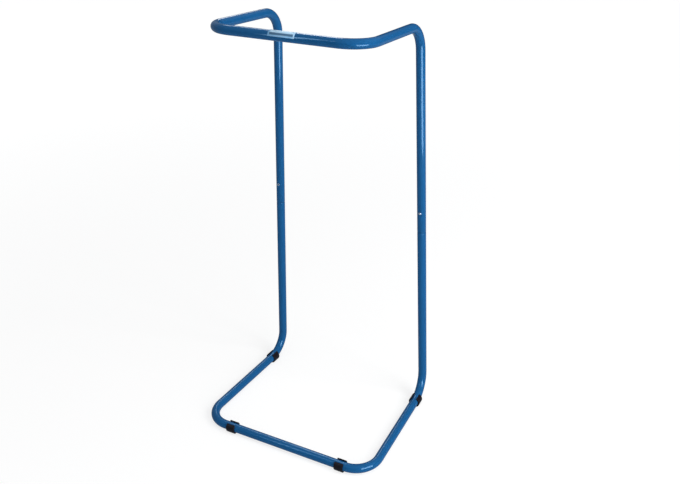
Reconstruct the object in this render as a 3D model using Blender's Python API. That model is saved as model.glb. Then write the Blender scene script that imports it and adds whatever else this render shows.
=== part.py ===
"""Bin bag holder: a free-standing stand of bent steel tube, in two halves joined part-way up the uprights.

Units are metres, with +Z up and the front at -Y. The origin is on the floor, under the middle of the stand.
A bag hangs inside the rim at the top and stands on the floor inside the base.
"""

import math

import bmesh
import bpy
from mathutils import Matrix, Vector

# Tube
TUBE_DIAMETER = 0.020
TUBE_WALL = 0.0012
BEND_RADIUS = 0.055
FIT_GAP = 0.0003

# Base, rim and uprights, from centreline to centreline
BASE_REAR_WIDTH = 0.401
BASE_FRONT_WIDTH = 0.428
BASE_DEPTH = 0.331
RIM_REAR_WIDTH = 0.340
RIM_FRONT_WIDTH = 0.350
RIM_DEPTH = 0.264
RIM_FRONT_RISE = 0.019
UPRIGHT_HEIGHT = 0.896

# Joint between the halves: the lower tube's ends are swaged down and slide into the upper tube
JOINT_HEIGHT = 0.4423
SPIGOT_LENGTH = 0.072
SPIGOT_GAP = 0.0003
SWAGE_LENGTH = 0.0025

# Snap buttons, each riveted to a leaf spring inside its spigot
BUTTON_ABOVE_JOINT = 0.0482
BUTTON_DIAMETER = 0.006
BUTTON_STAND_OUT = 0.0025
BUTTON_DOME = 0.0013
RIVET_DIAMETER = 0.003
RIVET_HEAD_DIAMETER = 0.0046
RIVET_HEAD_HEIGHT = 0.0008
SPRING_WIDTH = 0.007
SPRING_THICKNESS = 0.0006
SPRING_REACH = 0.0059
SPRING_LENGTH = 0.036
SPRING_SEAT_LENGTH = 0.013
SPRING_LOOP_RADIUS = 0.0022

# Foot clips: thick split sleeves, open at the top, with a narrow flat sole
CLIP_LENGTH = 0.021
CLIP_WALL = 0.003
CLIP_GAP = 0.0004
CLIP_SOLE = 0.0012
CLIP_LIP_ANGLE = math.radians(62)
CLIP_EDGE = 0.0006
CLIP_SHARP = math.radians(45)
LEFT_CLIP_FROM_BEND = 0.010
RIGHT_CLIP_FROM_BEND = 0.0
REAR_CLIP_OVERRUN = 0.0168

# Label on the rim's front bar
LABEL_LENGTH = 0.058
LABEL_WRAP = 0.029
LABEL_OFFSET = 0.006
LABEL_FRONT_ANGLE = math.radians(2.5)
LABEL_THICKNESS = 0.0002

# Facets
TUBE_SIDES = 20
BEND_STEPS = 9
ROUND_SIDES = 16
ARC_STEP = math.radians(13)
CLIP_STEPS = 5

LEFT, RIGHT = -1, 1
SIDE_NAMES = {LEFT: "left", RIGHT: "right"}

TUBE_RADIUS = TUBE_DIAMETER / 2
TUBE_BORE = TUBE_RADIUS - TUBE_WALL
SPIGOT_RADIUS = TUBE_BORE - SPIGOT_GAP
SPIGOT_BORE = SPIGOT_RADIUS - TUBE_WALL
CLIP_BORE = TUBE_RADIUS + CLIP_GAP
BASE_Z = CLIP_SOLE + CLIP_BORE
CLIP_RADIUS = CLIP_BORE + CLIP_WALL
BUTTON_HEIGHT = JOINT_HEIGHT + BUTTON_ABOVE_JOINT
# The origin lies midway between the front clips' walls and the backs of the uprights.
REAR_Y = (BASE_DEPTH + CLIP_RADIUS - TUBE_RADIUS) / 2

UP = Vector((0, 0, 1))
BACK = Vector((0, 1, 0))


# Corner points of the tube's centreline
def base_rear(side):
    return Vector((side * BASE_REAR_WIDTH / 2, REAR_Y, BASE_Z))


def base_front(side):
    return Vector((side * BASE_FRONT_WIDTH / 2, REAR_Y - BASE_DEPTH, BASE_Z))


def rim_rear(side):
    return Vector((side * RIM_REAR_WIDTH / 2, REAR_Y, BASE_Z + UPRIGHT_HEIGHT))


def rim_front(side):
    rear = rim_rear(side)
    return Vector((side * RIM_FRONT_WIDTH / 2, rear.y - RIM_DEPTH, rear.z + RIM_FRONT_RISE))


def up_the_tube(side):
    return (rim_rear(side) - base_rear(side)).normalized()


def on_upright(side, height, further=0):
    """The point of an upright's centreline at a height over the floor, and a length further up the tube."""
    along = up_the_tube(side)
    return base_rear(side) + along * ((height - BASE_Z) / along.z + further)


def upright_frame(side):
    """A frame at the button's height on an upright: Z up the tube and Y to the back."""
    along = up_the_tube(side)
    turn = Matrix((BACK.cross(along), BACK, along)).transposed()
    return Matrix.Translation(on_upright(side, BUTTON_HEIGHT)) @ turn.to_4x4()


# Helpers
def clear_scene():
    for obj in list(bpy.data.objects):
        bpy.data.objects.remove(obj, do_unlink=True)


def material(name, colour, roughness, metallic=0.0):
    made = bpy.data.materials.new(name)
    made.use_nodes = True
    shader = made.node_tree.nodes["Principled BSDF"]
    shader.inputs["Base Color"].default_value = (*colour, 1)
    shader.inputs["Roughness"].default_value = roughness
    shader.inputs["Metallic"].default_value = metallic
    return made


def finish(bm, name, look=None, place=None, sharp=math.radians(35)):
    """Turns a bmesh into a named object, smooth across its round faces."""
    bmesh.ops.recalc_face_normals(bm, faces=bm.faces)
    mesh = bpy.data.meshes.new(name)
    bm.to_mesh(mesh)
    bm.free()
    mesh.shade_smooth()
    mesh.set_sharp_from_angle(angle=sharp)
    obj = bpy.data.objects.new(name, mesh)
    if look:
        mesh.materials.append(look)
    if place:
        obj.matrix_world = place
    bpy.context.scene.collection.objects.link(obj)
    return obj


def cutter(bm, name, place):
    obj = finish(bm, name, place=place)
    obj.hide_render = True
    obj.display_type = "WIRE"
    return obj


def cut(obj, tool):
    boolean = obj.modifiers.new(tool.name, "BOOLEAN")
    boolean.operation = "DIFFERENCE"
    boolean.solver = "EXACT"
    boolean.object = tool


def arc(centre, radius, start, end, step=ARC_STEP):
    """Points on an arc in a plane, both ends included."""
    count = max(2, math.ceil(abs(end - start) / step))
    angles = [start + (end - start) * i / count for i in range(count + 1)]
    return [(centre[0] + radius * math.cos(a), centre[1] + radius * math.sin(a)) for a in angles]


def of_kind(geometry, kind):
    return [element for element in geometry if isinstance(element, kind)]


def with_edges(faces):
    return list(faces) + list({edge for face in faces for edge in face.edges})


def extrude(bm, faces, offset):
    """Carries faces along a straight offset and gives back the faces at the far end."""
    moved = bmesh.ops.extrude_face_region(bm, geom=with_edges(faces))["geom"]
    bmesh.ops.translate(bm, verts=of_kind(moved, bmesh.types.BMVert), vec=offset)
    return of_kind(moved, bmesh.types.BMFace)


def cylinder(radius, start, end):
    """A closed cylinder along Z, between two heights."""
    bm = bmesh.new()
    turned = Matrix.Translation((0, 0, (start + end) / 2))
    bmesh.ops.create_cone(
        bm, cap_ends=True, segments=ROUND_SIDES, radius1=radius, radius2=radius,
        depth=end - start, matrix=turned,
    )
    return bm


# Bent tube
def bend_setback(way_in, way_out):
    """How far before its corner a bend starts."""
    return BEND_RADIUS * math.tan(way_in.angle(way_out) / 2)


def tube_end(bm, place, along, outer, inner):
    """The ring-shaped end face of a tube that runs off along a direction."""
    turn = Matrix.Translation(place) @ along.to_track_quat("Z", "Y").to_matrix().to_4x4()
    bmesh.ops.create_circle(bm, segments=TUBE_SIDES, radius=outer, matrix=turn)
    bmesh.ops.create_circle(bm, segments=TUBE_SIDES, radius=inner, matrix=turn)
    return bmesh.ops.bridge_loops(bm, edges=bm.edges[:])["faces"]


def resize_end(faces, centre, outer, inner):
    """Swages a tube's end face to new radii."""
    verts = {vert for face in faces for vert in face.verts}
    middle = sum((vert.co - centre).length for vert in verts) / len(verts)
    for vert in verts:
        arm = vert.co - centre
        vert.co = centre + arm.normalized() * (outer if arm.length > middle else inner)


def run_tube(bm, end, points):
    """Carries a tube's end faces through a list of points, with a bend at each one between the ends."""
    place = points[0]
    for before, corner, after in zip(points, points[1:], points[2:]):
        way_in = (corner - before).normalized()
        way_out = (after - corner).normalized()
        setback = bend_setback(way_in, way_out)
        start = corner - way_in * setback
        end = extrude(bm, end, start - place)
        axis = way_in.cross(way_out).normalized()
        centre = start + axis.cross(way_in) * BEND_RADIUS
        spun = bmesh.ops.spin(
            bm, geom=with_edges(end), cent=centre, axis=axis, angle=way_in.angle(way_out), steps=BEND_STEPS
        )
        end = of_kind(spun["geom_last"], bmesh.types.BMFace)
        place = corner + way_out * setback
    return extrude(bm, end, points[-1] - place)


def upper_frame(look):
    """The rim and the upper uprights, one tube from joint to joint."""
    start, finish_at = (on_upright(side, JOINT_HEIGHT, FIT_GAP) for side in (LEFT, RIGHT))
    points = [start, rim_rear(LEFT), rim_front(LEFT), rim_front(RIGHT), rim_rear(RIGHT), finish_at]
    bm = bmesh.new()
    end = tube_end(bm, start, up_the_tube(LEFT), TUBE_RADIUS, TUBE_BORE)
    run_tube(bm, end, points)
    return finish(bm, "upper_frame", look)


def lower_frame(look):
    """The base and the lower uprights, one tube with a reduced spigot at each end."""
    tips, necks, shoulders = (
        [on_upright(side, JOINT_HEIGHT, further) for side in (LEFT, RIGHT)]
        for further in (SPIGOT_LENGTH, 0, -SWAGE_LENGTH)
    )
    corners = [base_rear(LEFT), base_front(LEFT), base_front(RIGHT), base_rear(RIGHT)]
    bm = bmesh.new()
    end = tube_end(bm, tips[0], -up_the_tube(LEFT), SPIGOT_RADIUS, SPIGOT_BORE)
    end = extrude(bm, end, necks[0] - tips[0])
    end = extrude(bm, end, shoulders[0] - necks[0])
    resize_end(end, shoulders[0], TUBE_RADIUS, TUBE_BORE)
    end = run_tube(bm, end, [shoulders[0], *corners, shoulders[1]])
    end = extrude(bm, end, necks[1] - shoulders[1])
    resize_end(end, necks[1], SPIGOT_RADIUS, SPIGOT_BORE)
    extrude(bm, end, tips[1] - necks[1])
    return finish(bm, "lower_frame", look)


# Snap buttons
def hole_cutter(side):
    """Drills the button's hole from an upright's axis out through its front wall."""
    bm = cylinder(BUTTON_DIAMETER / 2 + FIT_GAP, 0, TUBE_DIAMETER)
    bmesh.ops.rotate(bm, verts=bm.verts, cent=(0, 0, 0), matrix=Matrix.Rotation(math.pi / 2, 3, "X"))
    return cutter(bm, SIDE_NAMES[side] + "_button_hole", upright_frame(side))


def snap_button(side, look):
    """A turned button: a domed head, a shank through the spring and a rivet head behind it."""
    spring_back = SPRING_REACH - SPRING_THICKNESS
    rivet_top = spring_back - FIT_GAP
    shoulder = SPRING_REACH + FIT_GAP
    crown = TUBE_RADIUS + BUTTON_STAND_OUT - BUTTON_DOME
    dome = [
        (BUTTON_DIAMETER / 2 * x, crown + BUTTON_DOME * z)
        for x, z in arc((0, 0), 1, 0, math.pi / 2, step=math.pi / 8)
    ]
    outline = [
        (0, rivet_top - RIVET_HEAD_HEIGHT),
        (RIVET_HEAD_DIAMETER / 2, rivet_top - RIVET_HEAD_HEIGHT),
        (RIVET_HEAD_DIAMETER / 2, rivet_top),
        (RIVET_DIAMETER / 2, rivet_top),
        (RIVET_DIAMETER / 2, shoulder),
        (BUTTON_DIAMETER / 2, shoulder),
        *dome[:-1],
        (0, crown + BUTTON_DOME),
    ]
    bm = bmesh.new()
    verts = [bm.verts.new((radius, -out, 0)) for radius, out in outline]
    edges = [bm.edges.new(pair) for pair in zip(verts, verts[1:])]
    bmesh.ops.spin(
        bm, geom=verts + edges, cent=(0, 0, 0), axis=BACK, angle=math.tau, steps=ROUND_SIDES, use_merge=True
    )
    bmesh.ops.remove_doubles(bm, verts=bm.verts, dist=1e-6)
    return finish(bm, SIDE_NAMES[side] + "_snap_button", look, upright_frame(side))


def button_spring(side, look):
    """A V-shaped leaf spring: the front leg carries the button and the rear leg bears on the back wall."""
    reach = SPRING_REACH - SPRING_THICKNESS / 2
    top = SPRING_SEAT_LENGTH / 2
    loop = (0, top - SPRING_LENGTH + SPRING_LOOP_RADIUS)
    flank = math.atan2(reach - SPRING_LOOP_RADIUS, -top - loop[1])
    curl = arc(loop, SPRING_LOOP_RADIUS, math.pi - flank, math.tau + flank, step=math.radians(25))
    line = [(-reach, top), (-reach, -top), *curl, (reach, -top), (reach, top)]
    bm = bmesh.new()
    verts = [bm.verts.new((-SPRING_WIDTH / 2, y, z)) for y, z in line]
    edges = [bm.edges.new(pair) for pair in zip(verts, verts[1:])]
    swept = bmesh.ops.extrude_edge_only(bm, edges=edges)["geom"]
    bmesh.ops.translate(bm, verts=of_kind(swept, bmesh.types.BMVert), vec=(SPRING_WIDTH, 0, 0))
    obj = finish(bm, SIDE_NAMES[side] + "_button_spring", look, upright_frame(side))
    solidify = obj.modifiers.new("Strip", "SOLIDIFY")
    solidify.thickness = SPRING_THICKNESS
    solidify.offset = 0
    solidify.use_even_offset = True
    hole = cylinder(RIVET_DIAMETER / 2 + FIT_GAP, 0, TUBE_RADIUS)
    bmesh.ops.rotate(hole, verts=hole.verts, cent=(0, 0, 0), matrix=Matrix.Rotation(math.pi / 2, 3, "X"))
    cut(obj, cutter(hole, SIDE_NAMES[side] + "_rivet_hole", upright_frame(side)))
    return obj


# Foot clips
def clip_outline():
    """The clip's section, across and up from the tube's axis: a bore, two lips cut square and a flat sole."""
    right = [
        *arc((0, 0), CLIP_BORE, -math.pi / 2, CLIP_LIP_ANGLE),
        *arc((0, 0), CLIP_RADIUS, CLIP_LIP_ANGLE, -math.asin(BASE_Z / CLIP_RADIUS)),
    ]
    left = [(-across, up) for across, up in reversed(right[1:])]
    return right + left


def follow_bend(bm, frame, start, way_in, way_out):
    """Lifts a clip's bore with the tube past the bend's start. The outside of the clip stays straight."""
    radial = (way_out - way_in * way_out.dot(way_in)).normalized()
    into_local = frame.to_3x3().inverted()
    for vert in bm.verts:
        past = (frame @ vert.co - start).dot(way_in)
        share = (CLIP_RADIUS - math.hypot(vert.co.y, vert.co.z)) / CLIP_WALL
        if past > 0 and share > 0:
            slope = math.asin(past / BEND_RADIUS)
            rise = BEND_RADIUS * (1 - math.cos(slope))
            stretch = Vector((0, 0, vert.co.z / math.cos(slope) - vert.co.z))
            vert.co += (stretch + into_local @ (radial * rise)) * share


def foot_clip(name, look, middle, along, bend=None):
    """A clip round the base tube at a point of its centreline."""
    frame = Matrix.Translation(middle) @ along.to_track_quat("X", "Z").to_matrix().to_4x4()
    steps = CLIP_STEPS if bend else 1
    bm = bmesh.new()
    face = bm.faces.new([bm.verts.new((-CLIP_LENGTH / 2, across, up)) for across, up in clip_outline()])
    end = [face]
    for _ in range(steps):
        end = extrude(bm, end, (CLIP_LENGTH / steps, 0, 0))
    bmesh.ops.recalc_face_normals(bm, faces=bm.faces)
    edges = [edge for edge in bm.edges if edge.calc_face_angle() > CLIP_SHARP]
    bmesh.ops.bevel(bm, geom=edges, offset=CLIP_EDGE, segments=1, affect="EDGES", profile=0.5)
    if bend:
        follow_bend(bm, frame, *bend)
    return finish(bm, name, look, frame)


def foot_clips(look):
    for side, from_bend in ((LEFT, LEFT_CLIP_FROM_BEND), (RIGHT, RIGHT_CLIP_FROM_BEND)):
        front, rear = base_front(side), base_rear(side)
        arm = (rear - front).normalized()
        inward = Vector((-side, 0, 0))
        middle = front + inward * (bend_setback(-arm, inward) + from_bend + CLIP_LENGTH / 2)
        foot_clip(f"front_{SIDE_NAMES[side]}_foot_clip", look, middle, Vector((1, 0, 0)))
        upright = up_the_tube(side)
        bend_start = rear - arm * bend_setback(arm, upright)
        middle = bend_start + arm * (REAR_CLIP_OVERRUN - CLIP_LENGTH / 2)
        foot_clip(f"rear_{SIDE_NAMES[side]}_foot_clip", look, middle, arm, (bend_start, arm, upright))


# Label
def rim_label(look):
    """A bare film label wrapped over the top of the rim's front bar."""
    bar = rim_front(RIGHT)
    inner = TUBE_RADIUS + FIT_GAP
    outer = inner + LABEL_THICKNESS
    last = LABEL_FRONT_ANGLE + LABEL_WRAP / TUBE_RADIUS
    section = arc((0, 0), inner, LABEL_FRONT_ANGLE, last) + arc((0, 0), outer, last, LABEL_FRONT_ANGLE)
    bm = bmesh.new()
    start = LABEL_OFFSET - LABEL_LENGTH / 2
    face = bm.faces.new([bm.verts.new((start, -forward, up)) for forward, up in section])
    extrude(bm, [face], (LABEL_LENGTH, 0, 0))
    return finish(bm, "rim_label", look, Matrix.Translation((0, bar.y, bar.z)))


def main():
    clear_scene()
    blue_paint = material("blue_paint", (0.022, 0.105, 0.26), 0.22)
    zinc = material("zinc", (0.62, 0.64, 0.67), 0.3, metallic=1.0)
    spring_steel = material("spring_steel", (0.36, 0.36, 0.37), 0.35, metallic=1.0)
    black_plastic = material("black_plastic", (0.011, 0.009, 0.011), 0.42)
    label_film = material("label_film", (0.5, 0.68, 0.86), 0.3)
    upper = upper_frame(blue_paint)
    lower = lower_frame(blue_paint)
    for side in (LEFT, RIGHT):
        drill = hole_cutter(side)
        cut(upper, drill)
        cut(lower, drill)
        snap_button(side, zinc)
        button_spring(side, spring_steel)
    foot_clips(black_plastic)
    rim_label(label_film)


main()
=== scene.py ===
"""Bin bag holder: a gloss blue stand of bent steel tube on black foot clips.

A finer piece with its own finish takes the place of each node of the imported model,
and a plain white studio is set round the stand.
"""

import math

import bmesh
import bpy
from mathutils import Matrix, Vector


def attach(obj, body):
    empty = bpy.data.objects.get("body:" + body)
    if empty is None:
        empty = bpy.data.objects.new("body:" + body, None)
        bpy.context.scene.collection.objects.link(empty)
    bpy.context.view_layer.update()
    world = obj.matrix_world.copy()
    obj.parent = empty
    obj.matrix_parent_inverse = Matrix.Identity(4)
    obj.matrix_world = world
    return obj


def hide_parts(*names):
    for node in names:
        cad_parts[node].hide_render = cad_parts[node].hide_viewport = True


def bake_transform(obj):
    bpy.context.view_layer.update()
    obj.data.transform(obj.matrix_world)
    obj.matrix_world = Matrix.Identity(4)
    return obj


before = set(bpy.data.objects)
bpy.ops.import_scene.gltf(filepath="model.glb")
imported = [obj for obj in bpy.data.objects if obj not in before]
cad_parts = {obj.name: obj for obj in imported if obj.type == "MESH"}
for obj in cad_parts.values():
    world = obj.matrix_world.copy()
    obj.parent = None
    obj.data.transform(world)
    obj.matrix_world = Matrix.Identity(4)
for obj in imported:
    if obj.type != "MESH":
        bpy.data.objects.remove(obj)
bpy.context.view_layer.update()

# Sizes in metres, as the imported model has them. A bore is given by its radius.
TUBE_RADIUS = 0.010
TUBE_BORE = 0.0088
SPIGOT_RADIUS = 0.0085
SPIGOT_BORE = 0.0073
BEND_RADIUS = 0.055
BASE_Z = 0.0116
REAR_Y = 0.1672
BASE_REAR = 0.2005
BASE_FRONT = 0.214
BASE_FRONT_Y = -0.1638
RIM_REAR = 0.170
RIM_FRONT = 0.175
RIM_FRONT_Y = -0.0968
RIM_REAR_Z = 0.9076
RIM_FRONT_Z = 0.9266

JOINT_HEIGHT = 0.4423
JOINT_GAP = 0.0003
SPIGOT_LENGTH = 0.072
SWAGE_LENGTH = 0.0025

# Depths along a button are measured from its upright's axis
BUTTON_HEIGHT = 0.4905
BUTTON_RADIUS = 0.003
BUTTON_CHAMFER = 0.0002
BUTTON_BACK = 0.0062
DOME_START = 0.0112
DOME_HEIGHT = 0.0013
SHANK_RADIUS = 0.0015
RIVET_RADIUS = 0.0023
RIVET_BACK = 0.0042
RIVET_FRONT = 0.0050
HOLE_RADIUS = 0.0033
RIVET_HOLE_RADIUS = 0.0018

SPRING_WIDTH = 0.007
SPRING_THICKNESS = 0.0006
SPRING_REACH = 0.0059
SPRING_SEAT = 0.013
SPRING_LENGTH = 0.036
SPRING_LOOP_RADIUS = 0.0022

CLIP_LENGTH = 0.021
CLIP_BORE = 0.0104
CLIP_RADIUS = 0.0134
CLIP_WALL = 0.003
CLIP_LIP_ANGLE = math.radians(62)
CLIP_FROM_BEND = {-1: 0.010, 1: 0.0}
CLIP_OVERRUN = 0.0168

LABEL_MIDDLE = 0.006
LABEL_LENGTH = 0.058
LABEL_INNER = 0.0103
LABEL_THICKNESS = 0.0002
LABEL_WRAP_ANGLE = 2.9

# Not as the imported model has them: the label's start, rounded edges
LABEL_START = math.radians(5)
TUBE_END_ROUNDING = 0.00035
SPIGOT_END_ROUNDING = 0.0003
HOLE_ROUNDING = 0.0002
RIVET_HOLE_ROUNDING = 0.00005
CLIP_ROUNDING = 0.0006
LABEL_ROUNDING = 0.00006

# Wear of the paint, from a button's axis and from the upper tube's lip at the joint
RUB_EDGE = (0.00385, 0.00405)
RUB_RAGGEDNESS = 0.0009
LIP_EDGE = (0.00058, 0.00066)
LIP_RAGGEDNESS = 0.0006

# The label's bare margins, and its bands by their angle round the bar in half turns
MARGIN_WIDTH = 0.0033
MARGIN_BLUR = 0.0003
BAND_BLUE = (0.23, 0.52, 0.84)
BAND_NAVY = (0.045, 0.14, 0.27)
BAND_PALE = (0.46, 0.72, 0.94)
BAND_SHADE = (0.26, 0.44, 0.64)
BANDS = [
    (0.115, BAND_BLUE),
    (0.135, BAND_NAVY),
    (0.255, BAND_NAVY),
    (0.285, BAND_PALE),
    (0.430, BAND_PALE),
    (0.450, BAND_SHADE),
]

# Fineness
TUBE_SIDES = 72
BEND_STEPS = 28
SWAGE_STEPS = 6
HOLE_SIDES = 48
TURN_STEPS = 48
DOME_STEP = math.radians(9)
DOME_STEPS = 9
FINE_STEP = math.radians(4)
CLIP_SLICES = 11
SPRING_CUTS = 9
MERGE_DISTANCE = 1e-6

# Edges with a larger angle are rounded over, or stay sharp in the shading
END_ANGLE = math.radians(60)
HOLE_ANGLE = math.radians(50)
CLIP_ANGLE = math.radians(25)
SHARP_ANGLE = math.radians(40)
CLIP_SHARP_ANGLE = math.radians(50)

# Studio
CARD_RADIUS = 3.2
CARD_HEIGHT = 4.0
CARD_LIFT = 0.0004
CARD_SIDES = 48
FLOOR_SIZE = 20
STAND_MIDDLE = (0, 0, 0.5)
STAND_BASE = (0, -0.15, 0.3)

# Camera, fitted to the edges of the tubes
CAMERA_PLACE = (0.838759, -1.436578, 1.313791)
CAMERA_RIGHT = Vector((0.88417665, 0.46692695, -0.01452114))
CAMERA_UP = Vector((-0.18918655, 0.38632027, 0.90275417))
CAMERA_FORWARD = Vector((-0.42713007, 0.79544696, -0.42991167))
CAMERA_SENSOR = 36
CAMERA_LENS = 45.2844
CAMERA_SHIFT_Y = -0.0441176
CAMERA_NEAR = 0.05

LEFT, RIGHT = -1, 1
NAMES = {LEFT: "left", RIGHT: "right"}
BACK = Vector((0, 1, 0))


# Corners of the tube's centreline
def base_rear(side):
    return Vector((side * BASE_REAR, REAR_Y, BASE_Z))


def base_front(side):
    return Vector((side * BASE_FRONT, BASE_FRONT_Y, BASE_Z))


def rim_rear(side):
    return Vector((side * RIM_REAR, REAR_Y, RIM_REAR_Z))


def rim_front(side):
    return Vector((side * RIM_FRONT, RIM_FRONT_Y, RIM_FRONT_Z))


def up_the_tube(side):
    return (rim_rear(side) - base_rear(side)).normalized()


def on_upright(side, height, further=0.0):
    """The point of an upright's axis at a height, or further up the tube from there."""
    along = up_the_tube(side)
    return base_rear(side) + along * ((height - BASE_Z) / along.z + further)


def button_place(side):
    """The frame on the upright's axis at its button: Z up the tube and Y to the back."""
    along = up_the_tube(side)
    turn = Matrix((BACK.cross(along), BACK, along)).transposed()
    return Matrix.Translation(on_upright(side, BUTTON_HEIGHT)) @ turn.to_4x4()


# Shader values
class Value:
    """An output of a shader node. Sums written on it add Math nodes."""

    def __init__(self, tree, socket=None):
        self.tree = tree
        self.socket = socket

    def node(self, kind, settings=None, sockets=None, output=0):
        """Adds a node with its settings first, then its sockets' values or links."""
        made = self.tree.nodes.new(kind)
        for name, value in (settings or {}).items():
            if name == "stops":
                ramp = made.color_ramp.elements
                while len(ramp) < len(value):
                    ramp.new(1.0)
                for stop, (place, shade) in zip(ramp, value):
                    stop.position = place
                    stop.color = colour(*shade)
            else:
                setattr(made, name, value)
        for name, value in (sockets or {}).items():
            if isinstance(value, Value):
                self.tree.links.new(value.socket, made.inputs[name])
            else:
                made.inputs[name].default_value = value
        return Value(self.tree, made.outputs[output])

    def maths(self, operation, *values):
        return self.node("ShaderNodeMath", {"operation": operation}, dict(enumerate(values)))

    def __add__(self, other):
        return self.maths("ADD", self, other)

    __radd__ = __add__

    def __sub__(self, other):
        return self.maths("SUBTRACT", self, other)

    def __rsub__(self, other):
        return self.maths("SUBTRACT", other, self)

    def __mul__(self, other):
        return self.maths("MULTIPLY", self, other)

    __rmul__ = __mul__

    def __pow__(self, other):
        return self.maths("POWER", self, other)

    def __abs__(self):
        return self.maths("ABSOLUTE", self)

    def root(self):
        return self.maths("SQRT", self)

    def larger(self, other):
        return self.maths("MAXIMUM", self, other)

    def smaller(self, other):
        return self.maths("MINIMUM", self, other)

    def above(self, low, high):
        """0 under low and 1 over high, with a smooth step between them."""
        return self.node(
            "ShaderNodeMapRange",
            {"interpolation_type": "SMOOTHSTEP"},
            {"Value": self, "From Min": low, "From Max": high},
        )

    def axes(self):
        return [self.node("ShaderNodeSeparateXYZ", None, {"Vector": self}, axis) for axis in "XYZ"]

    def stretched(self, scale):
        return self.node("ShaderNodeMapping", None, {"Vector": self, "Scale": scale})

    def noise(self, scale, detail=2.0, roughness=0.5):
        return self.node(
            "ShaderNodeTexNoise",
            None,
            {"Vector": self, "Scale": scale, "Detail": detail, "Roughness": roughness},
        )

    def cells(self, scale):
        """The distance to the nearest of a scatter of points."""
        return self.node("ShaderNodeTexVoronoi", None, {"Vector": self, "Scale": scale})

    def between(self, first, second):
        """A colour from first at 0 to second at 1."""
        return self.node(
            "ShaderNodeMix", {"data_type": "RGBA"}, {"Factor": self, 6: first, 7: second}, output=2
        )

    def relief(self, distance):
        """The normal of a surface that this height, from 0 to 1, lifts by up to a distance."""
        return self.node("ShaderNodeBump", None, {"Height": self, "Distance": distance})


def colour(red, green, blue):
    return (red, green, blue, 1)


def grey(shade):
    return colour(shade, shade, shade)


def object_place(start):
    return start.node("ShaderNodeTexCoord", output="Object")


def new_material(name, constants):
    """A Principled material with its constants, and its object coordinates."""
    made = bpy.data.materials.new(name)
    made.use_nodes = True
    shader = made.node_tree.nodes["Principled BSDF"]
    for socket, value in constants.items():
        shader.inputs[socket].default_value = value
    return made, object_place(Value(made.node_tree))


def drive(made, links):
    shader = made.node_tree.nodes["Principled BSDF"]
    for socket, value in links.items():
        made.node_tree.links.new(value.socket, shader.inputs[socket])


def near_holes(place):
    """How far a point of an upright is from its button's axis, and 1 on the upright's front."""
    across, back, up = place.axes()
    centre = button_place(RIGHT).translation
    sideways = abs(across) - centre.x
    span = (sideways * sideways + (up - BUTTON_HEIGHT) ** 2).root()
    return span, (centre.y - back).above(0.004, 0.006)


def gloss_paint():
    """Gloss blue with a few dust nibs, rubbed round the button holes and at the joint's lip."""
    made, place = new_material("gloss_blue_paint", {"Specular Tint": colour(0.36, 0.68, 1.0)})
    tone = place.noise(5.0, 1.0)
    streak = place.noise(60.0, 3.0)
    coat = (tone * 0.6 + streak * 0.4).between(
        colour(0.0080, 0.086, 0.236), colour(0.0110, 0.102, 0.276)
    )
    dust = 1 - place.cells(420.0).above(0.03, 0.09)
    nibs = dust * place.noise(140.0, 0.0).above(0.66, 0.70)
    dusted = nibs.between(coat, colour(0.030, 0.16, 0.38))
    rag = place.noise(2600.0, 3.0)
    span, front = near_holes(place)
    rub = (1 - (span + rag * RUB_RAGGEDNESS).above(*RUB_EDGE)) * front
    _, _, up = place.axes()
    from_lip = abs(up - JOINT_HEIGHT - JOINT_GAP)
    lip = 1 - (from_lip + rag * LIP_RAGGEDNESS).above(*LIP_EDGE)
    bare = (rub * 0.25).larger(lip * 0.15)
    drive(
        made,
        {
            "Base Color": bare.between(dusted, colour(0.34, 0.36, 0.39)),
            "Metallic": bare,
            "Roughness": 0.06 + streak * 0.05 + bare * 0.22,
            "Normal": (place.noise(230.0, 2.0) + nibs * 0.4).relief(0.000005),
        },
    )
    return made


def zinc_plate():
    """Bright zinc, drawn with fine scratches round the button."""
    made, place = new_material("bright_zinc", {"IOR": 2.0})
    wear = place.noise(900.0, 4.0)
    scratch = place.stretched((1.0, 1.0, 9.0)).noise(1500.0, 2.0)
    drive(
        made,
        {
            "Base Color": wear.between(colour(0.50, 0.58, 0.68), colour(0.68, 0.76, 0.86)),
            "Metallic": 0.96 + wear * 0.04,
            "Roughness": 0.16 + wear * 0.10 + scratch * 0.06,
            "Normal": scratch.relief(0.000006),
        },
    )
    return made


def spring_strip():
    """Stained spring steel, with a grain along the strip."""
    made, place = new_material("blued_spring_steel", {})
    grain = place.stretched((40.0, 40.0, 1.0)).noise(60.0, 3.0)
    stain = place.noise(300.0, 3.0)
    drive(
        made,
        {
            "Base Color": stain.between(colour(0.16, 0.165, 0.18), colour(0.36, 0.35, 0.34)),
            "Metallic": 0.9 + stain * 0.1,
            "Roughness": 0.26 + grain * 0.18,
            "Normal": grain.relief(0.000008),
        },
    )
    return made


def moulded_black():
    """Black plastic with a fine grain, scuffed along the soles."""
    made, place = new_material("moulded_black", {"Specular IOR Level": 0.25})
    _, _, up = place.axes()
    grain = place.noise(2200.0, 4.0, 0.6)
    cloud = place.noise(160.0, 3.0)
    sole = 1 - up.above(0.0004, 0.0028)
    scuff = place.stretched((1.0, 6.0, 1.0)).noise(700.0, 4.0).above(0.56, 0.66) * sole
    plastic = (cloud * 0.7 + grain * 0.3).between(
        colour(0.0050, 0.0036, 0.0065), colour(0.0105, 0.0078, 0.0125)
    )
    drive(
        made,
        {
            "Base Color": (scuff * 0.6).between(plastic, colour(0.065, 0.062, 0.064)),
            "Roughness": 0.36 + grain * 0.16 + scuff * 0.25,
            "Normal": (grain * 0.7 + cloud * 0.3).relief(0.00005),
        },
    )
    return made


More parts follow.
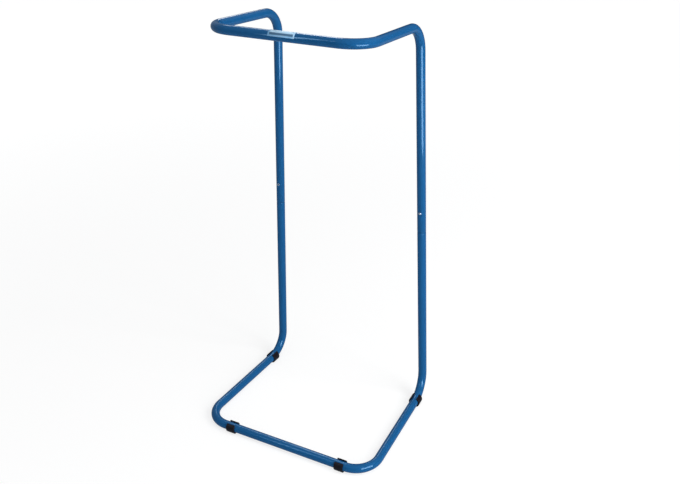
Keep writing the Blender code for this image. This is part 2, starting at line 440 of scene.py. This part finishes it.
def printed_film():
    """A bare label: bands of blue by their angle round the bar, inside pale margins."""
    made, place = new_material("printed_film", {"Specular IOR Level": 0.4})
    across, back, up = place.axes()
    angle = up.maths("ARCTAN2", up - RIM_FRONT_Z, RIM_FRONT_Y - back) * (1 / math.pi)
    band = angle.node("ShaderNodeValToRGB", {"stops": BANDS}, {"Fac": angle})
    off = across - LABEL_MIDDLE
    face_end = LABEL_LENGTH / 2 - MARGIN_WIDTH
    margin = abs(off).above(face_end - MARGIN_BLUR, face_end + MARGIN_BLUR)
    blank = off.above(-0.001, 0.001).between(colour(0.18, 0.46, 0.78), colour(0.38, 0.64, 0.90))
    face = margin.between(band, blank)
    fibre = place.noise(1800.0, 3.0)
    drive(
        made,
        {
            "Base Color": (fibre * 0.08).between(face, colour(0.60, 0.74, 0.86)),
            "Roughness": 0.24 + fibre * 0.10,
            "Normal": place.noise(350.0, 2.0).relief(0.00003),
        },
    )
    return made


# Mesh helpers
def of_kind(geometry, kind):
    return [element for element in geometry if isinstance(element, kind)]


def with_edges(faces):
    return list(faces) + list({edge for face in faces for edge in face.edges})


def arc(radius, start, end):
    """Points on an arc about the origin, both ends included."""
    count = max(2, math.ceil(abs(end - start) / FINE_STEP))
    angles = [start + (end - start) * step / count for step in range(count + 1)]
    return [(radius * math.cos(angle), radius * math.sin(angle)) for angle in angles]


def sharp_edges(bm, angle):
    return [edge for edge in bm.edges if edge.is_manifold and edge.calc_face_angle() > angle]


def soften(bm, edges, width, segments):
    bmesh.ops.bevel(
        bm, geom=edges, offset=width, offset_type="OFFSET", segments=segments, affect="EDGES",
        profile=0.5, material=-1, clamp_overlap=True,
    )


def smooth(mesh, sharp=SHARP_ANGLE):
    mesh.shade_smooth()
    mesh.set_sharp_from_angle(angle=sharp)


def new_piece(bm, name, place=None, sharp=SHARP_ANGLE):
    """Turns a bmesh into an object at the origin, with its place in its mesh."""
    if place:
        bm.transform(place)
    bmesh.ops.recalc_face_normals(bm, faces=bm.faces)
    mesh = bpy.data.meshes.new(name)
    bm.to_mesh(mesh)
    bm.free()
    smooth(mesh, sharp)
    piece = bpy.data.objects.new(name, mesh)
    bpy.context.scene.collection.objects.link(piece)
    return piece


def dress(piece, look, body, node):
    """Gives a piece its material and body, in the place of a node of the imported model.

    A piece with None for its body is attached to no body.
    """
    piece.data.materials.append(look)
    if body:
        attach(piece, body)
    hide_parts(node)


def extrude(bm, faces, offset):
    """Carries faces along a straight offset and gives back the faces at the far end."""
    moved = bmesh.ops.extrude_face_region(bm, geom=with_edges(faces))["geom"]
    bmesh.ops.translate(bm, verts=of_kind(moved, bmesh.types.BMVert), vec=offset)
    return of_kind(moved, bmesh.types.BMFace)


# Bent tubes
def bend_setback(way_in, way_out):
    """How far before its corner a bend starts."""
    return BEND_RADIUS * math.tan(way_in.angle(way_out) / 2)


def tube_end(bm, place, along, outer, inner):
    """The ring-shaped end face of a tube that runs off along a direction."""
    turn = Matrix.Translation(place) @ along.to_track_quat("Z", "Y").to_matrix().to_4x4()
    for radius in (outer, inner):
        bmesh.ops.create_circle(bm, segments=TUBE_SIDES, radius=radius, matrix=turn)
    return bmesh.ops.bridge_loops(bm, edges=bm.edges[:])["faces"]


def resize_end(faces, centre, outer, inner):
    """Swages a tube's end face to new radii."""
    verts = {vert for face in faces for vert in face.verts}
    middle = sum((vert.co - centre).length for vert in verts) / len(verts)
    for vert in verts:
        arm = vert.co - centre
        vert.co = centre + arm.normalized() * (outer if arm.length > middle else inner)


def run_tube(bm, end, stops):
    """Carries a tube's end faces through stops, with a bend at each one that is marked so."""
    place = stops[0][0]
    for (before, _), (corner, bent), (after, _) in zip(stops, stops[1:], stops[2:]):
        if not bent:
            end = extrude(bm, end, corner - place)
            place = corner
            continue
        way_in = (corner - before).normalized()
        way_out = (after - corner).normalized()
        setback = bend_setback(way_in, way_out)
        start = corner - way_in * setback
        end = extrude(bm, end, start - place)
        axis = way_in.cross(way_out).normalized()
        spun = bmesh.ops.spin(
            bm, geom=with_edges(end), cent=start + axis.cross(way_in) * BEND_RADIUS, axis=axis,
            angle=way_in.angle(way_out), steps=BEND_STEPS,
        )
        end = of_kind(spun["geom_last"], bmesh.types.BMFace)
        place = corner + way_out * setback
    return extrude(bm, end, stops[-1][0] - place)


def drill(side, radius):
    """A cutter from the upright's axis out through its front wall, round the button's axis."""
    depth = 2 * TUBE_RADIUS
    to_front = Matrix.Translation((0, -depth / 2, 0)) @ Matrix.Rotation(math.pi / 2, 4, "X")
    bm = bmesh.new()
    bmesh.ops.create_cone(
        bm, cap_ends=True, segments=HOLE_SIDES, radius1=radius, radius2=radius, depth=depth,
        matrix=to_front,
    )
    return new_piece(bm, NAMES[side] + "_drill", button_place(side))


def off_axis(point, side):
    """How far a point is from the axis of a side's button."""
    spot = button_place(side).inverted() @ point
    return math.hypot(spot.x, spot.z)


def clear_hole(bm, side, radius):
    """Takes out any skin that the cutter has left over a hole, which depends on the run."""
    skin = [
        face for face in bm.faces
        if off_axis(face.calc_center_median(), side) < radius * 0.98
        and all(off_axis(vert.co, side) < radius * 1.01 for vert in face.verts)
    ]
    bmesh.ops.delete(bm, geom=skin, context="FACES")


def drill_out(piece, sides=(LEFT, RIGHT), radius=HOLE_RADIUS, rounding=HOLE_ROUNDING):
    """Drills a hole at each side's button through a piece and rounds over the holes' edges."""
    tools = [drill(side, radius) for side in sides]
    for tool in tools:
        cut = piece.modifiers.new(tool.name, "BOOLEAN")
        cut.operation = "DIFFERENCE"
        cut.solver = "EXACT"
        cut.object = tool
    bpy.context.view_layer.update()
    finished = piece.evaluated_get(bpy.context.evaluated_depsgraph_get())
    drilled = bpy.data.meshes.new_from_object(finished)
    piece.modifiers.clear()
    for tool in tools:
        bpy.data.objects.remove(tool)
    bm = bmesh.new()
    bm.from_mesh(drilled)
    bmesh.ops.remove_doubles(bm, verts=bm.verts, dist=MERGE_DISTANCE)
    for side in sides:
        clear_hole(bm, side, radius)
    rims = [
        edge for edge in sharp_edges(bm, HOLE_ANGLE)
        if any(off_axis(edge.verts[0].co, side) < radius * 1.2 for side in sides)
    ]
    soften(bm, rims, rounding, 2)
    bmesh.ops.recalc_face_normals(bm, faces=bm.faces)
    bm.to_mesh(piece.data)
    bm.free()
    smooth(piece.data)


def beside_button(side):
    """Two stops on an upright, just above and just under its button."""
    return [(on_upright(side, BUTTON_HEIGHT, off), False) for off in (0.007, -0.007)]


def at_corners(rear, front):
    """The stops at the bends of the rim or the base, from the left upright to the right one."""
    return [(place, True) for place in (rear(LEFT), front(LEFT), front(RIGHT), rear(RIGHT))]


def rim_tube():
    """The rim and the upper uprights, with rounded tube ends at the joints."""
    left_end, right_end = (on_upright(side, JOINT_HEIGHT, JOINT_GAP) for side in (LEFT, RIGHT))
    stops = [
        (left_end, False), *reversed(beside_button(LEFT)), *at_corners(rim_rear, rim_front),
        *beside_button(RIGHT), (right_end, False),
    ]
    bm = bmesh.new()
    run_tube(bm, tube_end(bm, left_end, up_the_tube(LEFT), TUBE_RADIUS, TUBE_BORE), stops)
    soften(bm, sharp_edges(bm, END_ANGLE), TUBE_END_ROUNDING, 3)
    piece = new_piece(bm, "rim_tube")
    drill_out(piece)
    return piece


def swage(bm, end, side, outward):
    """Draws the tube's end down to the spigot or back up to full size, in a soft shoulder."""
    for step in range(1, SWAGE_STEPS + 1):
        share, last = step / SWAGE_STEPS, (step - 1) / SWAGE_STEPS
        if outward:
            share, last = 1 - share, 1 - last
        place, before = (on_upright(side, JOINT_HEIGHT, -SWAGE_LENGTH * at) for at in (share, last))
        end = extrude(bm, end, place - before)
        ease = (1 - math.cos(math.pi * share)) / 2
        outer = SPIGOT_RADIUS + (TUBE_RADIUS - SPIGOT_RADIUS) * ease
        inner = SPIGOT_BORE + (TUBE_BORE - SPIGOT_BORE) * ease
        resize_end(end, place, outer, inner)
    return end


def base_tube():
    """The base and the lower uprights, with a swaged spigot at each end."""
    tips, necks, shoulders = (
        [(on_upright(side, JOINT_HEIGHT, further), False) for side in (LEFT, RIGHT)]
        for further in (SPIGOT_LENGTH, 0, -SWAGE_LENGTH)
    )
    bm = bmesh.new()
    end = tube_end(bm, tips[0][0], -up_the_tube(LEFT), SPIGOT_RADIUS, SPIGOT_BORE)
    end = run_tube(bm, end, [tips[0], *beside_button(LEFT), necks[0]])
    end = swage(bm, end, LEFT, False)
    end = run_tube(bm, end, [shoulders[0], *at_corners(base_rear, base_front), shoulders[1]])
    end = swage(bm, end, RIGHT, True)
    run_tube(bm, end, [necks[1], *reversed(beside_button(RIGHT)), tips[1]])
    soften(bm, sharp_edges(bm, END_ANGLE), SPIGOT_END_ROUNDING, 2)
    piece = new_piece(bm, "base_tube")
    drill_out(piece)
    return piece


# Snap buttons
def turned_button(side):
    """A turned button: a domed head, a shank through the spring and a rivet head behind it."""
    outline = [
        (0, RIVET_BACK),
        (RIVET_RADIUS - BUTTON_CHAMFER, RIVET_BACK),
        (RIVET_RADIUS, RIVET_BACK + BUTTON_CHAMFER),
        (RIVET_RADIUS, RIVET_FRONT),
        (SHANK_RADIUS, RIVET_FRONT),
        (SHANK_RADIUS, BUTTON_BACK),
        (BUTTON_RADIUS - BUTTON_CHAMFER, BUTTON_BACK),
        (BUTTON_RADIUS, BUTTON_BACK + BUTTON_CHAMFER),
    ]
    for step in range(DOME_STEPS):
        turn = DOME_STEP * step
        rise = DOME_HEIGHT * math.sin(turn)
        outline.append((BUTTON_RADIUS * math.cos(turn), DOME_START + rise))
    outline.append((0, DOME_START + DOME_HEIGHT))
    bm = bmesh.new()
    verts = [bm.verts.new((radius, -depth, 0)) for radius, depth in outline]
    edges = [bm.edges.new(pair) for pair in zip(verts, verts[1:])]
    bmesh.ops.spin(
        bm, geom=verts + edges, cent=(0, 0, 0), axis=BACK, angle=math.tau, steps=TURN_STEPS,
        use_merge=True,
    )
    bmesh.ops.remove_doubles(bm, verts=bm.verts, dist=MERGE_DISTANCE)
    return new_piece(bm, NAMES[side] + "_button_turned", button_place(side))


def leaf_spring(side):
    """A V-shaped strip: the front leg carries the button, the rear one bears on the back wall."""
    reach = SPRING_REACH - SPRING_THICKNESS / 2
    top = SPRING_SEAT / 2
    fold = top - SPRING_LENGTH + SPRING_LOOP_RADIUS
    flank = math.atan2(reach - SPRING_LOOP_RADIUS, -top - fold)
    loop = arc(SPRING_LOOP_RADIUS, math.pi - flank, math.tau + flank)
    curl = [(back, fold + up) for back, up in loop]
    line = [(-reach, top), (-reach, -top), *curl, (reach, -top), (reach, top)]
    bm = bmesh.new()
    verts = [bm.verts.new((-SPRING_WIDTH / 2, back, up)) for back, up in line]
    edges = [bm.edges.new(pair) for pair in zip(verts, verts[1:])]
    flanks = [edge for edge in edges if edge.calc_length() > SPRING_SEAT * 1.1]
    bmesh.ops.subdivide_edges(bm, edges=flanks, cuts=SPRING_CUTS)
    swept = bmesh.ops.extrude_edge_only(bm, edges=bm.edges[:])["geom"]
    across = (SPRING_WIDTH, 0, 0)
    bmesh.ops.translate(bm, verts=of_kind(swept, bmesh.types.BMVert), vec=across)
    piece = new_piece(bm, NAMES[side] + "_leaf_spring", button_place(side))
    strip = piece.modifiers.new("strip", "SOLIDIFY")
    strip.thickness = SPRING_THICKNESS
    strip.offset = 0
    strip.use_even_offset = True
    drill_out(piece, [side], RIVET_HOLE_RADIUS, RIVET_HOLE_ROUNDING)
    return piece


def flex(piece, side):
    """Bakes a spring's place into its mesh; its front leg is left unbent."""
    place = button_place(side)
    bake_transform(piece)


# Foot clips
def clip_outline():
    """The clip's section about the tube's axis: a bore, two lips cut square and a flat sole."""
    right = [
        *arc(CLIP_BORE, -math.pi / 2, CLIP_LIP_ANGLE),
        *arc(CLIP_RADIUS, CLIP_LIP_ANGLE, -math.asin(BASE_Z / CLIP_RADIUS)),
    ]
    left = [(-across, up) for across, up in reversed(right[1:])]
    return right + left


def follow_bend(bm, place, start, way_in, way_out):
    """Lifts a clip's bore with the tube past the bend's start. Its outside stays straight."""
    radial = (way_out - way_in * way_out.dot(way_in)).normalized()
    into_local = place.to_3x3().inverted()
    for vert in bm.verts:
        past = (place @ vert.co - start).dot(way_in)
        share = (CLIP_RADIUS - math.hypot(vert.co.y, vert.co.z)) / CLIP_WALL
        if past > 0 and share > 0:
            slope = math.asin(past / BEND_RADIUS)
            rise = BEND_RADIUS * (1 - math.cos(slope))
            stretch = Vector((0, 0, vert.co.z / math.cos(slope) - vert.co.z))
            vert.co += (stretch + into_local @ (radial * rise)) * share


def foot_clip(name, middle, along, bend=None):
    """A clip round a straight run of tube, or running on into a bend."""
    place = Matrix.Translation(middle) @ along.to_track_quat("X", "Z").to_matrix().to_4x4()
    bm = bmesh.new()
    verts = [bm.verts.new((-CLIP_LENGTH / 2, across, up)) for across, up in clip_outline()]
    end = [bm.faces.new(verts)]
    for _ in range(CLIP_SLICES):
        end = extrude(bm, end, (CLIP_LENGTH / CLIP_SLICES, 0, 0))
    bmesh.ops.recalc_face_normals(bm, faces=bm.faces)
    soften(bm, sharp_edges(bm, CLIP_ANGLE), CLIP_ROUNDING, 4)
    if bend:
        follow_bend(bm, place, *bend)
    return new_piece(bm, name, place, sharp=CLIP_SHARP_ANGLE)


def foot_clips():
    """Gives back each clip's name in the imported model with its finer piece."""
    made = {}
    for side in (LEFT, RIGHT):
        front, rear = base_front(side), base_rear(side)
        arm = (rear - front).normalized()
        inward = Vector((-side, 0, 0))
        from_corner = bend_setback(-arm, inward) + CLIP_FROM_BEND[side] + CLIP_LENGTH / 2
        name = f"front_{NAMES[side]}"
        made[name + "_foot_clip"] = foot_clip(
            name + "_clip", front + inward * from_corner, Vector((1, 0, 0))
        )
        upright = up_the_tube(side)
        bend_start = rear - arm * bend_setback(arm, upright)
        middle = bend_start + arm * (CLIP_OVERRUN - CLIP_LENGTH / 2)
        name = f"rear_{NAMES[side]}"
        made[name + "_foot_clip"] = foot_clip(
            name + "_clip", middle, arm, (bend_start, arm, upright)
        )
    return made


# Label
def label_film():
    """A thin film wrapped over the top of the rim's front bar."""
    end = LABEL_START + LABEL_WRAP_ANGLE
    outer = LABEL_INNER + LABEL_THICKNESS
    section = arc(LABEL_INNER, LABEL_START, end) + arc(outer, end, LABEL_START)
    bm = bmesh.new()
    start = LABEL_MIDDLE - LABEL_LENGTH / 2
    face = bm.faces.new([bm.verts.new((start, -forward, up)) for forward, up in section])
    extrude(bm, [face], (LABEL_LENGTH, 0, 0))
    bmesh.ops.recalc_face_normals(bm, faces=bm.faces)
    soften(bm, sharp_edges(bm, END_ANGLE), LABEL_ROUNDING, 2)
    return new_piece(bm, "label_film", Matrix.Translation((0, RIM_FRONT_Y, RIM_FRONT_Z)))


def dress_object():
    paint = gloss_paint()
    dress(rim_tube(), paint, "frame", "upper_frame")
    dress(base_tube(), paint, "frame", "lower_frame")
    zinc = zinc_plate()
    steel = spring_strip()
    for side in (LEFT, RIGHT):
        name = NAMES[side] + "_button"
        dress(turned_button(side), zinc, name, NAMES[side] + "_snap_button")
        spring = leaf_spring(side)
        flex(spring, side)
        dress(spring, steel, None, name + "_spring")
    black = moulded_black()
    for node, piece in foot_clips().items():
        dress(piece, black, "frame", node)
    dress(label_film(), printed_film(), "frame", "rim_label")


# Studio
def lamp(name, place, aim, size, radiance, lights=True, shines=True):
    """A soft panel that lights the stand, shines in its gloss, or both. Radiance 1 looks white."""
    data = bpy.data.lights.new(name, "AREA")
    data.shape = "RECTANGLE"
    data.size, data.size_y = size
    data.energy = radiance * math.pi * size[0] * size[1]
    made = bpy.data.objects.new(name, data)
    place = Vector(place)
    turn = (place - Vector(aim)).to_track_quat("Z", "Y").to_matrix().to_4x4()
    made.matrix_world = Matrix.Translation(place) @ turn
    made.visible_diffuse = lights
    made.visible_glossy = shines
    bpy.context.scene.collection.objects.link(made)


def cleared(owner):
    """Empties the nodes of a material or the world, for a shader of its own."""
    owner.use_nodes = True
    owner.node_tree.nodes.clear()
    return Value(owner.node_tree)


def put_out(shader, kind="ShaderNodeOutputMaterial"):
    output = shader.tree.nodes.new(kind)
    shader.tree.links.new(shader.socket, output.inputs["Surface"])


def seen_directly(start):
    """1 for rays of the camera, of gloss and through glass, and 0 for any other."""
    camera_ray, gloss_ray, clear_ray = (
        start.node("ShaderNodeLightPath", output=f"Is {kind} Ray")
        for kind in ("Camera", "Glossy", "Transmission")
    )
    return camera_ray.larger(gloss_ray).larger(clear_ray)


def white_floor():
    """A matt floor to the light, and to the camera a white one that keeps the stand's shadow."""
    bm = bmesh.new()
    bmesh.ops.create_grid(bm, x_segments=1, y_segments=1, size=FLOOR_SIZE)
    floor = new_piece(bm, "floor")
    made = bpy.data.materials.new("white_floor")
    start = cleared(made)
    matt = start.node("ShaderNodeBsdfDiffuse", None, {"Color": colour(0.80, 0.80, 0.82)})
    shadowed = start.node("ShaderNodeBsdfDiffuse", None, {"Color": grey(0.30)})
    across, back, _ = object_place(start).axes()
    far = (across * across + back * back).root().above(0.2, 3.4)
    glow = start.node("ShaderNodeEmission", None, {"Color": far.between(grey(0.76), grey(0.90))})
    shown = start.node("ShaderNodeAddShader", None, {0: shadowed, 1: glow})
    share = seen_directly(start)
    put_out(start.node("ShaderNodeMixShader", None, {0: share, 1: matt, 2: shown}))
    floor.data.materials.append(made)


def world_light():
    """Soft white from all round, and plain white where it is seen itself."""
    world = bpy.data.worlds.new("studio")
    start = cleared(world)
    sky = {"Color": colour(0.96, 0.98, 1.0), "Strength": 0.33}
    soft = start.node("ShaderNodeBackground", None, sky)
    white = start.node("ShaderNodeBackground", None, {"Color": grey(1), "Strength": 1.0})
    share = seen_directly(start)
    both = start.node("ShaderNodeMixShader", None, {0: share, 1: soft, 2: white})
    put_out(both, "ShaderNodeOutputWorld")
    bpy.context.scene.world = world


def glowing_cards():
    """Cards under, round and over the stand that glow: painted light standing in for lit grey
    studio cards. Only its gloss shows them.
    """
    bm = bmesh.new()
    bmesh.ops.create_circle(
        bm, cap_ends=True, segments=CARD_SIDES, radius=CARD_RADIUS,
        matrix=Matrix.Translation((0, 0, CARD_LIFT)),
    )
    rim = [edge for edge in bm.edges if edge.is_boundary]
    wall = bmesh.ops.extrude_edge_only(bm, edges=rim)["geom"]
    bmesh.ops.translate(bm, verts=of_kind(wall, bmesh.types.BMVert), vec=(0, 0, CARD_HEIGHT))
    bmesh.ops.contextual_create(bm, geom=of_kind(wall, bmesh.types.BMEdge))
    cards = new_piece(bm, "glowing_cards")
    made = bpy.data.materials.new("glowing_card")
    start = cleared(made)
    across, _, up = object_place(start).axes()
    # Painted light: the cards glow paler on the floor disc, high up and to the left, and dark
    # between.
    low = 1 - up.above(0.01, 0.05)
    high = up.above(1.7, 2.8)
    left = (across * -1).above(1.4, 2.4)
    pale = (low * 0.8 + high + left * 0.8).smaller(1.0)
    card_glow = pale.between(colour(0.03, 0.045, 0.07), colour(0.30, 0.36, 0.42))
    put_out(start.node("ShaderNodeEmission", None, {"Color": card_glow}))
    cards.data.materials.append(made)
    for kind in ("camera", "diffuse", "transmission", "volume_scatter", "shadow"):
        setattr(cards, "visible_" + kind, False)


def studio_lamps():
    middle, base = STAND_MIDDLE, STAND_BASE
    lamp("top", (0.2, -0.3, 3.0), middle, (1.6, 1.6), 1.6, shines=False)
    lamp("right", (2.2, 0.1, 1.9), middle, (1.4, 1.2), 8.0, shines=False)
    lamp("right_front", (1.9, -1.15, 0.75), middle, (1.0, 1.0), 6.0, shines=False)
    lamp("right_panel", (1.18, -0.53, 0.475), (0, 0.167, 0.475), (0.89, 0.55), 10.0, lights=False)
    lamp("back_strip", (-1.6, 1.85, 2.8), base, (0.9, 0.6), 5.0, lights=False)
    lamp("back_window", (-1.14, 1.85, 2.0), base, (0.36, 1.1), 4.0, lights=False)
    lamp("left_front_strip", (-0.79, -1.4, 1.55), (-0.79, 0, 1.55), (0.19, 1.1), 6.5, lights=False)


def camera():
    data = bpy.data.cameras.new("camera")
    data.sensor_width = CAMERA_SENSOR
    data.lens = CAMERA_LENS
    data.shift_y = CAMERA_SHIFT_Y
    data.clip_start = CAMERA_NEAR
    made = bpy.data.objects.new("camera", data)
    turn = Matrix((CAMERA_RIGHT, CAMERA_UP, -CAMERA_FORWARD)).transposed().to_4x4()
    made.matrix_world = Matrix.Translation(CAMERA_PLACE) @ turn
    bpy.context.scene.collection.objects.link(made)
    bpy.context.scene.camera = made


dress_object()
white_floor()
world_light()
glowing_cards()
studio_lamps()
camera()
bpy.context.scene.view_settings.view_transform = "Standard"
